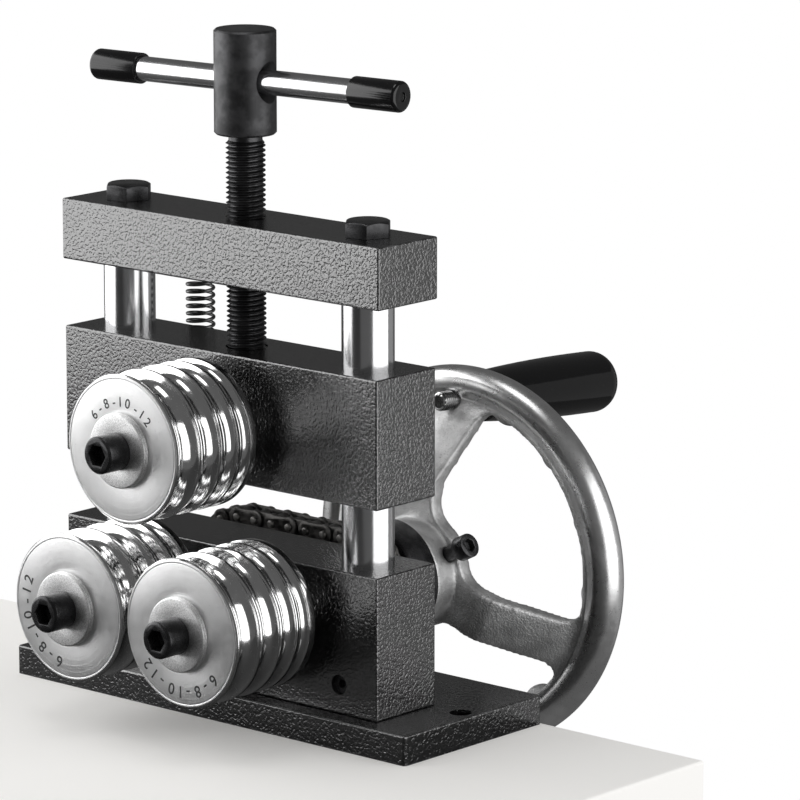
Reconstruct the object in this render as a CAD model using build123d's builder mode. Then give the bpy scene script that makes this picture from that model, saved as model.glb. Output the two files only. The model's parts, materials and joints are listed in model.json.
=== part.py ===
"""Hand-cranked ring roller with three grooved rollers, a lead screw, return springs, a chain drive and a handwheel.

Millimetres. X runs along the front, Y goes to the back, Z is up. The origin lies on the underside of the base
plate, under the middle of the steel blocks.
"""
import os
from math import atan2, cos, degrees, hypot, pi, radians, sin, sqrt

from build123d import *

os.makedirs("parts", exist_ok=True)

# ---------------------------------------------------------------- steel blocks
block_depth = 35.0
edge_round = 0.8
base_width = 214.0
base_depth = 83.0
base_thickness = 12.0
base_overhang_front = 8.5
lower_width = 170.0
lower_height = 58.0
slider_width = 170.0
slider_height = 52.0
bar_width = 172.0
bar_height = 25.0
gap_under_slider = 27.0
gap_over_slider = 27.5
bench_hole_diameter = 9.0
bench_hole_inset = 7.0

# ---------------------------------------------------------------- fits
running_clearance = 0.05
bolt_clearance = 0.25
touch_gap = 0.05

# ---------------------------------------------------------------- guide posts
post_diameter = 21.0
post_spacing = 130.0
post_foot = 2.0
post_in_bar = 10.0
post_bolt_diameter = 10.0
post_bolt_in_post = 20.0
hex_across_flats = 17.0
hex_head_height = 6.4
grub_diameter = 8.0
grub_length = 5.0
grub_height = 11.8

# ---------------------------------------------------------------- base screws, from under the plate
base_screw_diameter = 8.0
base_screw_head_diameter = 16.0
base_screw_reach = 15.0
base_screw_socket_across = 5.0
base_screw_socket_depth = 2.6
base_screw_spacing_x = 84.0
base_screw_spacing_y = 18.0

# ---------------------------------------------------------------- lead screw and tommy bar
screw_diameter = 16.0
screw_core_diameter = 13.6
screw_neck_length = 3.2
screw_tip_length = 4.0
screw_in_boss = 14.0
pad_diameter = 16.0
pad_thickness = 3.0
screw_recess_depth = 10.0
boss_diameter = 25.0
boss_height = 42.0
boss_over_bar = 33.5
tommy_diameter = 10.0
tommy_rod_length = 148.0
tommy_offset = 1.0
tommy_angle = 5.5
tommy_height = 21.5
tommy_mouth = 2.2
cap_diameter = 12.5
cap_length = 23.0
cap_end_wall = 2.0
cap_dimple_diameter = 3.6
cap_dimple_depth = 0.8

# ---------------------------------------------------------------- rollers and shafts
roller_diameter = 60.0
roller_length = 46.0
roller_standoff = 8.5
roller_chamfer = 1.0
groove_widths = (12.0, 10.0, 8.0, 6.0)
groove_depth_share = 0.4
front_flange = 1.7
rib_width = 1.4
shaft_diameter = 17.0
shaft_short_of_face = 1.0
shoulder_diameter = 26.0
top_axis_height = 21.3
lower_axis_height = 37.25
washer_diameter = 30.0
washer_thickness = 3.0
cap_screw_diameter = 10.0
cap_screw_length = 20.0
cap_head_diameter = 15.0
cap_head_length = 11.0
cap_socket_across = 8.0
cap_socket_depth = 6.0
key_width = 5.0
key_length = 18.0
key_in_shaft = 3.0
key_in_roller = 2.0
keyway_play = 0.3
top_shaft_tail = 3.0
retaining_ring_thickness = 1.2
retaining_ring_height = 2.6
retaining_groove_depth = 0.6

# ---------------------------------------------------------------- ball bearings, two to a shaft
bearing_diameter = 35.0
bearing_width = 10.0
bearing_recess = 0.5
bearing_web_diameter = 29.0
inner_ring_diameter = 22.4
outer_ring_bore = 29.0
ball_diameter = 5.8
ball_count = 9
ball_play = 0.1
seal_thickness = 0.8
seal_inset = 0.3
seal_play = 0.15

# ---------------------------------------------------------------- roller chain and sprockets
chain_pitch = 9.525
sprocket_teeth = 13
links_between_shafts = 6.5
chain_roller_diameter = 6.35
chain_inside_width = 5.8
inner_plate_thickness = 1.3
outer_plate_thickness = 1.1
plate_play = 0.08
plate_height = 8.2
plate_waist = 7.4
pin_diameter = 3.28
pin_stand_out = 0.9
chain_setback = 14.5
sprocket_thickness = 5.3
sprocket_hub_diameter = 28.0
sprocket_nose_diameter = 22.0
sprocket_nose_length = 1.0
tooth_height = 2.3
tooth_flare = 2.5
tooth_play = 0.1
sprocket_screw_diameter = 5.0
left_shaft_tail = 3.0

# ---------------------------------------------------------------- return springs
spring_spacing = 97.2
spring_setback = 7.0
spring_diameter = 12.2
spring_wire = 1.4
spring_turns = 23
spring_eye_radius = 4.2
spring_eye_rise = 5.5
anchor_diameter = 5.0
anchor_head_diameter = 8.5
anchor_head_length = 3.4
anchor_in_block = 9.0
anchor_height_in_bar = 12.5
anchor_height_in_slider = 9.0

# ---------------------------------------------------------------- handwheel
collar_diameter = 48.0
collar_length = 14.0
collar_setback = 22.5
wheel_hub_diameter = 46.0
wheel_hub_length = 22.0
wheel_diameter = 160.0
rim_thickness = 15.0
rim_setback = 47.5
arm_count = 3
arm_angle = 94.0
arm_width = 21.0
crank_arm_width = 38.0
arm_thickness = 7.0
web_setback = 13.0
web_radius = 36.0
arm_root_fillet = 10.0
arm_rim_fillet = 5.0
finger_bumps = 14
finger_bump_radius = 8.0
finger_bump_angle = 72.5
finger_bump_inward = 4.0
finger_bump_back = 2.0
shaft_past_wheel = 1.0
wheel_screw_diameter = 6.0
wheel_screw_head_diameter = 10.0
wheel_screw_head_length = 6.0
wheel_screw_stand_out = 5.5
wheel_screw_setback = 11.6
wheel_screw_angle = 27.0
wheel_socket_across = 5.0

# ---------------------------------------------------------------- turning hand grip
grip_inset = 14.0
grip_lean = 4.0
grip_length = 79.0
grip_diameter = 26.0
grip_neck_diameter = 21.0
grip_end_round = 8.0
stud_diameter = 8.0
stud_stand_out = 11.0
stud_boss_diameter = 19.0
stud_boss_length = 12.0
stud_collar_diameter = 14.0
stud_collar_length = 3.0
spindle_diameter = 9.0
spindle_head_diameter = 12.0
spindle_head_length = 3.0
grip_end_wall = 12.0

# ---------------------------------------------------------------- places that follow from the sizes
front = -block_depth / 2
back = block_depth / 2
base_front = front - base_overhang_front
base_middle = base_front + base_depth / 2
bench_hole_spacing = base_width - 2 * bench_hole_inset
lower_bottom = base_thickness
lower_top = lower_bottom + lower_height
slider_bottom = lower_top + gap_under_slider
slider_top = slider_bottom + slider_height
bar_bottom = slider_top + gap_over_slider
bar_top = bar_bottom + bar_height

roller_back = front - roller_standoff
roller_front = roller_back - roller_length
washer_front = roller_front - washer_thickness
shaft_front = roller_front + shaft_short_of_face
top_axis_z = slider_bottom + top_axis_height
lower_axis_z = lower_bottom + lower_axis_height
axis_x = links_between_shafts * chain_pitch / 2

bearing_starts = (front + bearing_recess, back - bearing_recess - bearing_width)
bearing_end = back - bearing_recess
ball_circle_radius = (inner_ring_diameter + outer_ring_bore) / 4

chain_y = back + chain_setback
pitch_radius = chain_pitch / (2 * sin(pi / sprocket_teeth))
tooth_angle = 360 / sprocket_teeth
sprocket_back = chain_y + sprocket_thickness / 2
left_shaft_end = sprocket_back + left_shaft_tail

screw_recess_floor = slider_top - screw_recess_depth
screw_tip = screw_recess_floor + pad_thickness + touch_gap
boss_bottom = bar_top + boss_over_bar
boss_top = boss_bottom + boss_height
tommy_z = boss_bottom + tommy_height

spring_y = back + spring_setback
upper_anchor_z = bar_bottom + anchor_height_in_bar
lower_anchor_z = slider_bottom + anchor_height_in_slider
anchor_head_y = spring_y + spring_wire / 2 + 1.2

collar_start = back + collar_setback
hub_start = collar_start + collar_length
hub_end = hub_start + wheel_hub_length
rim_y = hub_start + rim_setback
rim_radius = (wheel_diameter - rim_thickness) / 2
drive_shaft_end = hub_end + shaft_past_wheel

stations = {
    "top": (0.0, top_axis_z),
    "left": (-axis_x, lower_axis_z),
    "drive": (axis_x, lower_axis_z),
}


def save(builder, label):
    """Label a finished piece and write it as its own file."""
    builder.part.label = label
    export_step(builder.part, f"parts/{label}.step")


def across(y):
    """A drawing plane square to the shafts at depth y: its first axis is X, its second is Z."""
    return Plane.XZ.offset(-y)


def shaft_line(x, z):
    return Axis((x, 0, z), (0, 1, 0))


def turned(x, z, *outline):
    """A closed outline of (y, radius) points, ready to revolve about the shaft line through x, z."""
    with BuildSketch(Plane((x, 0, z), x_dir=(0, 1, 0), z_dir=(1, 0, 0))) as section:
        with BuildLine():
            Polyline(*outline, close=True)
        make_face()
    return section.sketch


# ================================================================ base plate and blocks
with BuildPart() as base_plate:
    with BuildSketch():
        with Locations((0, base_middle)):
            Rectangle(base_width, base_depth)
    extrude(amount=base_thickness)
    fillet(base_plate.edges().filter_by(Axis.Z), edge_round * 2)
    fillet(base_plate.edges().group_by(Axis.Z)[-1], edge_round)
    with Locations((0, base_middle, base_thickness)):
        with GridLocations(bench_hole_spacing, 0, 2, 1):
            Hole(bench_hole_diameter / 2)
    with Locations(Plane.XY.rotated((180, 0, 0))):
        with GridLocations(base_screw_spacing_x, base_screw_spacing_y, 2, 2):
            CounterSinkHole(base_screw_diameter / 2 + bolt_clearance, base_screw_head_diameter / 2,
                            counter_sink_angle=90)
save(base_plate, "base_plate")

with BuildPart() as lower_block:
    with BuildSketch(Plane.XY.offset(lower_bottom)):
        Rectangle(lower_width, block_depth)
    extrude(amount=lower_height)
    fillet(lower_block.edges(), edge_round)
    # blind bores for the posts
    with BuildSketch(Plane.XY.offset(lower_bottom + post_foot)):
        with GridLocations(post_spacing, 0, 2, 1):
            Circle(post_diameter / 2)
    extrude(amount=lower_height, mode=Mode.SUBTRACT)
    # tapped holes for the grub screws that lock the posts
    with BuildSketch(across(front)):
        with Locations((-post_spacing / 2, lower_bottom + grub_height), (post_spacing / 2, lower_bottom + grub_height)):
            Circle(grub_diameter / 2)
    extrude(amount=-block_depth / 2, mode=Mode.SUBTRACT)
    # seats of the ball bearings, with a web between them
    for x in (-axis_x, axis_x):
        for start, length in ((front, bearing_recess + bearing_width), (bearing_starts[1], bearing_width + bearing_recess)):
            with BuildSketch(across(start)):
                with Locations((x, lower_axis_z)):
                    Circle(bearing_diameter / 2)
            extrude(amount=-length, mode=Mode.SUBTRACT)
        with BuildSketch(across(front)):
            with Locations((x, lower_axis_z)):
                Circle(bearing_web_diameter / 2)
        extrude(amount=-block_depth, mode=Mode.SUBTRACT)
    # tapped holes for the base screws
    with BuildSketch(Plane.XY.offset(lower_bottom)):
        with GridLocations(base_screw_spacing_x, base_screw_spacing_y, 2, 2):
            Circle(base_screw_diameter / 2)
    extrude(amount=base_screw_reach, mode=Mode.SUBTRACT)
save(lower_block, "lower_block")

with BuildPart() as base_screws:
    with GridLocations(base_screw_spacing_x, base_screw_spacing_y, 2, 2):
        with Locations((0, 0, 0)):
            Cone(base_screw_head_diameter / 2, base_screw_diameter / 2,
                 (base_screw_head_diameter - base_screw_diameter) / 2,
                 align=(Align.CENTER, Align.CENTER, Align.MIN))
            Cylinder(base_screw_diameter / 2, base_thickness + base_screw_reach,
                     align=(Align.CENTER, Align.CENTER, Align.MIN))
    with BuildSketch():
        with GridLocations(base_screw_spacing_x, base_screw_spacing_y, 2, 2):
            RegularPolygon(base_screw_socket_across / 2, 6, major_radius=False)
    extrude(amount=base_screw_socket_depth, mode=Mode.SUBTRACT)
save(base_screws, "base_screws")

with BuildPart() as guide_posts:
    with BuildSketch(Plane.XY.offset(lower_bottom + post_foot)):
        with GridLocations(post_spacing, 0, 2, 1):
            Circle(post_diameter / 2)
    extrude(amount=bar_bottom + post_in_bar - lower_bottom - post_foot)
    chamfer(guide_posts.edges().group_by(Axis.Z)[-1], 1.0)
    with BuildSketch(Plane.XY.offset(bar_bottom + post_in_bar)):
        with GridLocations(post_spacing, 0, 2, 1):
            Circle(post_bolt_diameter / 2)
    extrude(amount=-post_bolt_in_post, mode=Mode.SUBTRACT)
save(guide_posts, "guide_posts")

with BuildPart() as post_grub_screws:
    grub_tip = -post_diameter / 2
    with BuildSketch(across(grub_tip - touch_gap - grub_length)):
        with Locations((-post_spacing / 2, lower_bottom + grub_height), (post_spacing / 2, lower_bottom + grub_height)):
            Circle(grub_diameter / 2)
            RegularPolygon(grub_diameter / 4, 6, mode=Mode.SUBTRACT)
    extrude(amount=-grub_length)
    with BuildSketch(across(grub_tip - touch_gap)):
        with Locations((-post_spacing / 2, lower_bottom + grub_height), (post_spacing / 2, lower_bottom + grub_height)):
            Circle(grub_diameter / 2)
    extrude(amount=grub_length / 2)
save(post_grub_screws, "post_grub_screws")

with BuildPart() as top_bar:
    with BuildSketch(Plane.XY.offset(bar_bottom)):
        Rectangle(bar_width, block_depth)
    extrude(amount=bar_height)
    fillet(top_bar.edges(), edge_round)
    with BuildSketch(Plane.XY.offset(bar_bottom)):
        with GridLocations(post_spacing, 0, 2, 1):
            Circle(post_diameter / 2)
    extrude(amount=post_in_bar, mode=Mode.SUBTRACT)
    with BuildSketch(Plane.XY.offset(bar_bottom)):
        with GridLocations(post_spacing, 0, 2, 1):
            Circle(post_bolt_diameter / 2 + bolt_clearance)
        Circle(screw_diameter / 2 + running_clearance)
    extrude(amount=bar_height, mode=Mode.SUBTRACT)
    with BuildSketch(across(back)):
        with Locations((-spring_spacing / 2, upper_anchor_z), (spring_spacing / 2, upper_anchor_z)):
            Circle(anchor_diameter / 2)
    extrude(amount=anchor_in_block, mode=Mode.SUBTRACT)
save(top_bar, "top_bar")

with BuildPart() as post_bolts:
    with BuildSketch(Plane.XY.offset(bar_top)):
        with GridLocations(post_spacing, 0, 2, 1):
            RegularPolygon(hex_across_flats / 2, 6, major_radius=False, rotation=8)
    extrude(amount=hex_head_height)
    # corners of the head turned off, the usual 30 degrees
    corner = hex_across_flats / sqrt(3)
    head_top = bar_top + hex_head_height
    for x in (-post_spacing / 2, post_spacing / 2):
        with BuildSketch(Plane((x, 0, 0), x_dir=(1, 0, 0), z_dir=(0, -1, 0))):
            with BuildLine():
                flat = hex_across_flats / 2 * 0.95
                Polyline((flat, head_top), (corner + 1, head_top - (corner + 1 - flat) * 0.577), (corner + 1, head_top + 1),
                         (flat, head_top + 1), close=True)
            make_face()
        revolve(axis=Axis((x, 0, 0), (0, 0, 1)), mode=Mode.SUBTRACT)
    with BuildSketch(Plane.XY.offset(bar_top)):
        with GridLocations(post_spacing, 0, 2, 1):
            Circle(post_bolt_diameter / 2)
    extrude(amount=-(bar_height - post_in_bar + post_bolt_in_post - 2))
save(post_bolts, "post_bolts")


# ================================================================ sliding block
with BuildPart() as sliding_block:
    with BuildSketch(Plane.XY.offset(slider_bottom)):
        Rectangle(slider_width, block_depth)
    extrude(amount=slider_height)
    fillet(sliding_block.edges(), edge_round)
    with BuildSketch(Plane.XY.offset(slider_bottom)):
        with GridLocations(post_spacing, 0, 2, 1):
            Circle(post_diameter / 2 + running_clearance)
    extrude(amount=slider_height, mode=Mode.SUBTRACT)
    for start, length in ((front, bearing_recess + bearing_width), (bearing_starts[1], bearing_width + bearing_recess)):
        with BuildSketch(across(start)):
            with Locations((0, top_axis_z)):
                Circle(bearing_diameter / 2)
        extrude(amount=-length, mode=Mode.SUBTRACT)
    with BuildSketch(across(front)):
        with Locations((0, top_axis_z)):
            Circle(bearing_web_diameter / 2)
    extrude(amount=-block_depth, mode=Mode.SUBTRACT)
    with BuildSketch(Plane.XY.offset(screw_recess_floor)):
        Circle(screw_diameter / 2 + 10 * running_clearance)
    extrude(amount=screw_recess_depth, mode=Mode.SUBTRACT)
    with BuildSketch(across(back)):
        with Locations((-spring_spacing / 2, lower_anchor_z), (spring_spacing / 2, lower_anchor_z)):
            Circle(anchor_diameter / 2)
    extrude(amount=anchor_in_block, mode=Mode.SUBTRACT)
save(sliding_block, "sliding_block")

with BuildPart() as thrust_pad:
    with BuildSketch(Plane.XY.offset(screw_recess_floor)):
        Circle(pad_diameter / 2)
    extrude(amount=pad_thickness)
    chamfer(thrust_pad.edges().group_by(Axis.Z)[-1], 0.5)
save(thrust_pad, "thrust_pad")

for label, anchor_z in (("upper_spring_screws", upper_anchor_z), ("slider_spring_screws", lower_anchor_z)):
    with BuildPart() as anchors:
        for x in (-spring_spacing / 2, spring_spacing / 2):
            tip = back - anchor_in_block + 1
            radius = anchor_diameter / 2
            head = anchor_head_diameter / 2
            head_end = anchor_head_y + anchor_head_length
            revolve(turned(x, anchor_z, (tip, 0), (tip, radius), (anchor_head_y, radius), (anchor_head_y, head),
                           (head_end - 0.8, head), (head_end, head - 0.8), (head_end, 0)),
                    axis=shaft_line(x, anchor_z))
            with BuildSketch(across(head_end)):
                with Locations((x, anchor_z)):
                    RegularPolygon(anchor_diameter / 4, 6)
            extrude(amount=2.0, mode=Mode.SUBTRACT)
    save(anchors, label)


# ================================================================ lead screw, boss and tommy bar
with BuildPart() as lead_screw:
    with BuildSketch(Plane.XY.offset(screw_tip + screw_tip_length)):
        Circle(screw_diameter / 2)
    extrude(amount=boss_bottom - screw_neck_length - screw_tip - screw_tip_length)
    chamfer(lead_screw.edges().filter_by(GeomType.CIRCLE), 1.0)
    # turned down to the thread's core at the tip, and from the neck into the boss
    with BuildSketch(Plane.XY.offset(screw_tip)):
        Circle(screw_core_diameter / 2)
    extrude(amount=boss_bottom + screw_in_boss - screw_tip)
save(lead_screw, "lead_screw")

tommy_plane = Plane((0, 0, tommy_z), x_dir=(-sin(radians(tommy_angle)), cos(radians(tommy_angle)), 0),
                    z_dir=(cos(radians(tommy_angle)), sin(radians(tommy_angle)), 0))
with BuildPart() as tee_boss:
    with BuildSketch(Plane.XY.offset(boss_bottom)):
        Circle(boss_diameter / 2)
    extrude(amount=boss_height)
    chamfer(tee_boss.edges().group_by(Axis.Z)[-1], 0.8)
    chamfer(tee_boss.edges().group_by(Axis.Z)[0], 0.8)
    with BuildSketch(Plane.XY.offset(boss_bottom)):
        Circle(screw_core_diameter / 2)
    extrude(amount=screw_in_boss, mode=Mode.SUBTRACT)
    hole_radius = tommy_diameter / 2 + 2 * running_clearance
    with BuildSketch(tommy_plane):
        Circle(hole_radius)
    extrude(amount=boss_diameter, both=True, mode=Mode.SUBTRACT)
    # countersunk mouths of the cross hole
    mouth_radius = hole_radius + tommy_mouth
    for side in (1, -1):
        seat = tommy_plane.offset(side * (sqrt(boss_diameter ** 2 / 4 - mouth_radius ** 2) - 1.0))
        with BuildSketch(seat):
            Circle(hole_radius)
        with BuildSketch(seat.offset(side * boss_diameter / 2)):
            Circle(hole_radius + boss_diameter / 2)
        loft(mode=Mode.SUBTRACT)
save(tee_boss, "tee_boss")

rod_start = tommy_offset - tommy_rod_length / 2
rod_end = tommy_offset + tommy_rod_length / 2
with BuildPart() as tommy_bar:
    with BuildSketch(tommy_plane.offset(rod_start)):
        Circle(tommy_diameter / 2)
    extrude(amount=tommy_rod_length)
save(tommy_bar, "tommy_bar")

with BuildPart() as tommy_caps:
    for rod_face, inward in ((rod_start, 1), (rod_end, -1)):
        with BuildSketch(tommy_plane.offset(rod_face - inward * cap_end_wall)):
            Circle(cap_diameter / 2)
        extrude(amount=inward * cap_length)
    rims = tommy_caps.edges().filter_by(GeomType.CIRCLE)
    fillet(rims.sort_by(Axis.X)[0], 1.6)
    fillet(tommy_caps.edges().filter_by(GeomType.CIRCLE).sort_by(Axis.X)[-1], 1.6)
    for rod_face, inward in ((rod_start, 1), (rod_end, -1)):
        with BuildSketch(tommy_plane.offset(rod_face)):
            Circle(tommy_diameter / 2)
        extrude(amount=inward * cap_length, mode=Mode.SUBTRACT)
        with BuildSketch(tommy_plane.offset(rod_face - inward * cap_end_wall)):
            Circle(cap_dimple_diameter / 2)
        extrude(amount=inward * cap_dimple_depth, mode=Mode.SUBTRACT)
save(tommy_caps, "tommy_caps")


# ================================================================ rollers, with what clamps them to their shafts
def roller_outline():
    """Half section of a roller: (y, radius) points and the grooves between them, front to back."""
    radius = roller_diameter / 2
    bore = shaft_diameter / 2
    with BuildLine() as outline:
        y = roller_front + roller_chamfer
        Polyline((y + front_flange - roller_chamfer, radius), (y, radius), (roller_front, radius - roller_chamfer),
                 (roller_front, bore), (roller_back, bore), (roller_back, radius - roller_chamfer),
                 (roller_back - roller_chamfer, radius))
        y = roller_front + front_flange
        for width in groove_widths:
            ThreePointArc((y, radius), (y + width / 2, radius - groove_depth_share * width), (y + width, radius))
            y += width
            last = width == groove_widths[-1]
            end = roller_back - roller_chamfer if last else y + rib_width
            Line((y, radius), (end, radius))
            y = end
    return outline.line


for name, (x, z) in stations.items():
    axis = shaft_line(x, z)

    with BuildPart() as roller:
        with BuildSketch(Plane((x, 0, z), x_dir=(0, 1, 0), z_dir=(1, 0, 0))):
            with BuildLine():
                add(roller_outline())
            make_face()
        revolve(axis=axis)
        with BuildSketch(across(roller_front)):
            with Locations((x, z + shaft_diameter / 2)):
                Rectangle(key_width, 2 * (key_in_roller + keyway_play))
        extrude(amount=-roller_length, mode=Mode.SUBTRACT)
    save(roller, f"{name}_roller")

    with BuildPart() as key:
        key_back = roller_back - 2
        with BuildSketch(across(key_back - key_length)):
            with Locations((x, z + shaft_diameter / 2 + (key_in_roller - key_in_shaft) / 2)):
                RectangleRounded(key_width, key_in_shaft + key_in_roller, 0.3)
        extrude(amount=-key_length)
    save(key, f"{name}_roller_key")

    with BuildPart() as washer:
        revolve(turned(x, z, (roller_front, cap_screw_diameter / 2 + bolt_clearance),
                       (washer_front, cap_screw_diameter / 2 + bolt_clearance),
                       (washer_front, washer_diameter / 2 - 0.4), (washer_front + 0.4, washer_diameter / 2),
                       (roller_front - 0.4, washer_diameter / 2), (roller_front, washer_diameter / 2 - 0.4)),
                axis=axis)
    save(washer, f"{name}_roller_washer")

    with BuildPart() as cap_screw:
        head_front = washer_front - cap_head_length
        revolve(turned(x, z, (washer_front + cap_screw_length, 0), (washer_front + cap_screw_length, cap_screw_diameter / 2),
                       (washer_front, cap_screw_diameter / 2), (washer_front, cap_head_diameter / 2),
                       (head_front + 0.9, cap_head_diameter / 2), (head_front, cap_head_diameter / 2 - 0.9),
                       (head_front, 0)),
                axis=axis)
        with BuildSketch(across(head_front)):
            with Locations((x, z)):
                RegularPolygon(cap_socket_across / 2, 6, major_radius=False)
        extrude(amount=-cap_socket_depth, mode=Mode.SUBTRACT)
    save(cap_screw, f"{name}_cap_screw")

    # shaft: roller seat, shoulder, bearing seat and tail
    tail_end = {"top": back + top_shaft_tail, "left": left_shaft_end, "drive": drive_shaft_end}[name]
    with BuildPart() as shaft:
        seat = shaft_diameter / 2
        nose = inner_ring_diameter / 2 - 0.2
        step = front - 0.7
        revolve(turned(x, z, (shaft_front, 0), (shaft_front, seat), (roller_back, seat),
                       (roller_back, shoulder_diameter / 2), (step, shoulder_diameter / 2), (step, nose),
                       (bearing_starts[0], nose), (bearing_starts[0], seat), (tail_end - 0.8, seat),
                       (tail_end, seat - 0.8), (tail_end, 0)),
                axis=axis)
        with BuildSketch(across(shaft_front)):
            with Locations((x, z)):
                Circle(cap_screw_diameter / 2)
        extrude(amount=-cap_screw_length, mode=Mode.SUBTRACT)
        with BuildSketch(across(roller_back - 2 - key_length)):
            with Locations((x, z + shaft_diameter / 2)):
                Rectangle(key_width, 2 * key_in_shaft)
        extrude(amount=-key_length, mode=Mode.SUBTRACT)
        if name == "top":
            revolve(turned(x, z, (bearing_end, seat - retaining_groove_depth), (bearing_end, seat + 1),
                           (bearing_end + retaining_ring_thickness, seat + 1),
                           (bearing_end + retaining_ring_thickness, seat - retaining_groove_depth)),
                    axis=axis, mode=Mode.SUBTRACT)
    save(shaft, f"{name}_shaft")

    with BuildPart() as inner_rings:
        for start in bearing_starts:
            revolve(turned(x, z, (start, shaft_diameter / 2), (start, inner_ring_diameter / 2),
                           (start + bearing_width, inner_ring_diameter / 2), (start + bearing_width, shaft_diameter / 2)),
                    axis=axis)
            with BuildSketch(Plane((x, start + bearing_width / 2, z), x_dir=(0, 1, 0), z_dir=(1, 0, 0))):
                with Locations((0, ball_circle_radius)):
                    Circle(ball_diameter / 2 + ball_play)
            revolve(axis=axis, mode=Mode.SUBTRACT)
    save(inner_rings, f"{name}_bearing_inner_rings")

with BuildPart() as retaining_ring:
    x, z = stations["top"]
    ring_radius = shaft_diameter / 2 - retaining_groove_depth
    with BuildSketch(across(bearing_end)):
        with Locations((x, z)):
            Circle(ring_radius + retaining_ring_height)
            Circle(ring_radius, mode=Mode.SUBTRACT)
        with Locations((x, z - ring_radius - retaining_ring_height / 2)):
            Rectangle(5, 2 * retaining_ring_height, mode=Mode.SUBTRACT)
    extrude(amount=-retaining_ring_thickness)
save(retaining_ring, "top_retaining_ring")

# outer rings, balls and seals stay in their block
for label, places in (("lower", (stations["left"], stations["drive"])), ("top", (stations["top"],))):
    with BuildPart() as outer_rings:
        for x, z in places:
            for start in bearing_starts:
                revolve(turned(x, z, (start, outer_ring_bore / 2), (start, bearing_diameter / 2 - 0.5),
                               (start + 0.5, bearing_diameter / 2), (start + bearing_width - 0.5, bearing_diameter / 2),
                               (start + bearing_width, bearing_diameter / 2 - 0.5),
                               (start + bearing_width, outer_ring_bore / 2)),
                        axis=shaft_line(x, z))
                with BuildSketch(Plane((x, start + bearing_width / 2, z), x_dir=(0, 1, 0), z_dir=(1, 0, 0))):
                    with Locations((0, ball_circle_radius)):
                        Circle(ball_diameter / 2 + ball_play)
                revolve(axis=shaft_line(x, z), mode=Mode.SUBTRACT)
    save(outer_rings, f"{label}_bearing_outer_rings")

    with BuildPart() as balls:
        for x, z in places:
            for start in bearing_starts:
                with Locations(Plane((x, start + bearing_width / 2, z), x_dir=(1, 0, 0), z_dir=(0, -1, 0))):
                    with PolarLocations(ball_circle_radius, ball_count):
                        Sphere(ball_diameter / 2)
    save(balls, f"{label}_bearing_balls")

    with BuildPart() as seals:
        for x, z in places:
            for start in bearing_starts:
                for y in (start + seal_inset, start + bearing_width - seal_inset - seal_thickness):
                    with BuildSketch(across(y)):
                        with Locations((x, z)):
                            Circle(outer_ring_bore / 2)
                            Circle(inner_ring_diameter / 2 + seal_play, mode=Mode.SUBTRACT)
                    extrude(amount=-seal_thickness)
    save(seals, f"{label}_bearing_seals")


# ================================================================ sprockets, in mesh with the chain at rest
for name, first_seat in (("left", 90.0), ("drive", -90.0)):
    x, z = stations[name]
    with BuildPart() as sprocket:
        seat_radius = chain_roller_diameter / 2 + tooth_play
        with BuildSketch(across(chain_y - sprocket_thickness / 2)):
            with Locations((x, z)):
                Circle(pitch_radius + tooth_height)
                with PolarLocations(pitch_radius, sprocket_teeth, start_angle=first_seat):
                    Circle(seat_radius, mode=Mode.SUBTRACT)
                    Polygon((0, -seat_radius), (2 * tooth_height, -seat_radius - tooth_flare),
                            (2 * tooth_height, seat_radius + tooth_flare), (0, seat_radius),
                            align=None, mode=Mode.SUBTRACT)
        extrude(amount=-sprocket_thickness)
        nose_start = bearing_end
        nose_end = nose_start + sprocket_nose_length
        revolve(turned(x, z, (nose_start, 0), (nose_start, sprocket_nose_diameter / 2), (nose_end, sprocket_nose_diameter / 2),
                       (nose_end, sprocket_hub_diameter / 2), (chain_y, sprocket_hub_diameter / 2), (chain_y, 0)),
                axis=shaft_line(x, z))
        with BuildSketch(across(nose_start)):
            with Locations((x, z)):
                Circle(shaft_diameter / 2)
        extrude(amount=-2 * chain_setback, mode=Mode.SUBTRACT)
        screw_y = (nose_end + chain_y - sprocket_thickness / 2) / 2
        with BuildSketch(Plane((x, screw_y, z))):
            Circle(sprocket_screw_diameter / 2)
        extrude(amount=sprocket_hub_diameter, mode=Mode.SUBTRACT)
    save(sprocket, f"{name}_sprocket")

    with BuildPart() as sprocket_screw:
        with BuildSketch(Plane((x, screw_y, z + shaft_diameter / 2 + touch_gap))):
            Circle(sprocket_screw_diameter / 2)
        extrude(amount=(sprocket_hub_diameter - shaft_diameter) / 2 - 0.8)
        with BuildSketch(Plane((x, screw_y, z + sprocket_hub_diameter / 2 - 0.8))):
            RegularPolygon(sprocket_screw_diameter / 4, 6)
        extrude(amount=-2.0, mode=Mode.SUBTRACT)
    save(sprocket_screw, f"{name}_sprocket_screw")


# ================================================================ chain: 26 pins, on from the left sprocket's top
def on_sprocket(centre_x, angle):
    return (centre_x + pitch_radius * cos(radians(angle)), lower_axis_z + pitch_radius * sin(radians(angle)))


wrapped = range((sprocket_teeth + 1) // 2)
run = range(int(links_between_shafts), 0, -1)
chain_pins_at = [on_sprocket(-axis_x, 90 + i * tooth_angle) for i in wrapped]
chain_pins_at += [(axis_x - i * chain_pitch, lower_axis_z - pitch_radius) for i in run]
chain_pins_at += [on_sprocket(axis_x, -90 + i * tooth_angle) for i in wrapped]
chain_pins_at += [(-axis_x + i * chain_pitch, lower_axis_z + pitch_radius) for i in run]
chain_links = [(a, b) for a, b in zip(chain_pins_at, chain_pins_at[1:] + chain_pins_at[:1])]

inner_plate_y = chain_inside_width / 2
outer_plate_y = inner_plate_y + inner_plate_thickness + plate_play
pin_half = outer_plate_y + outer_plate_thickness + pin_stand_out


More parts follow.
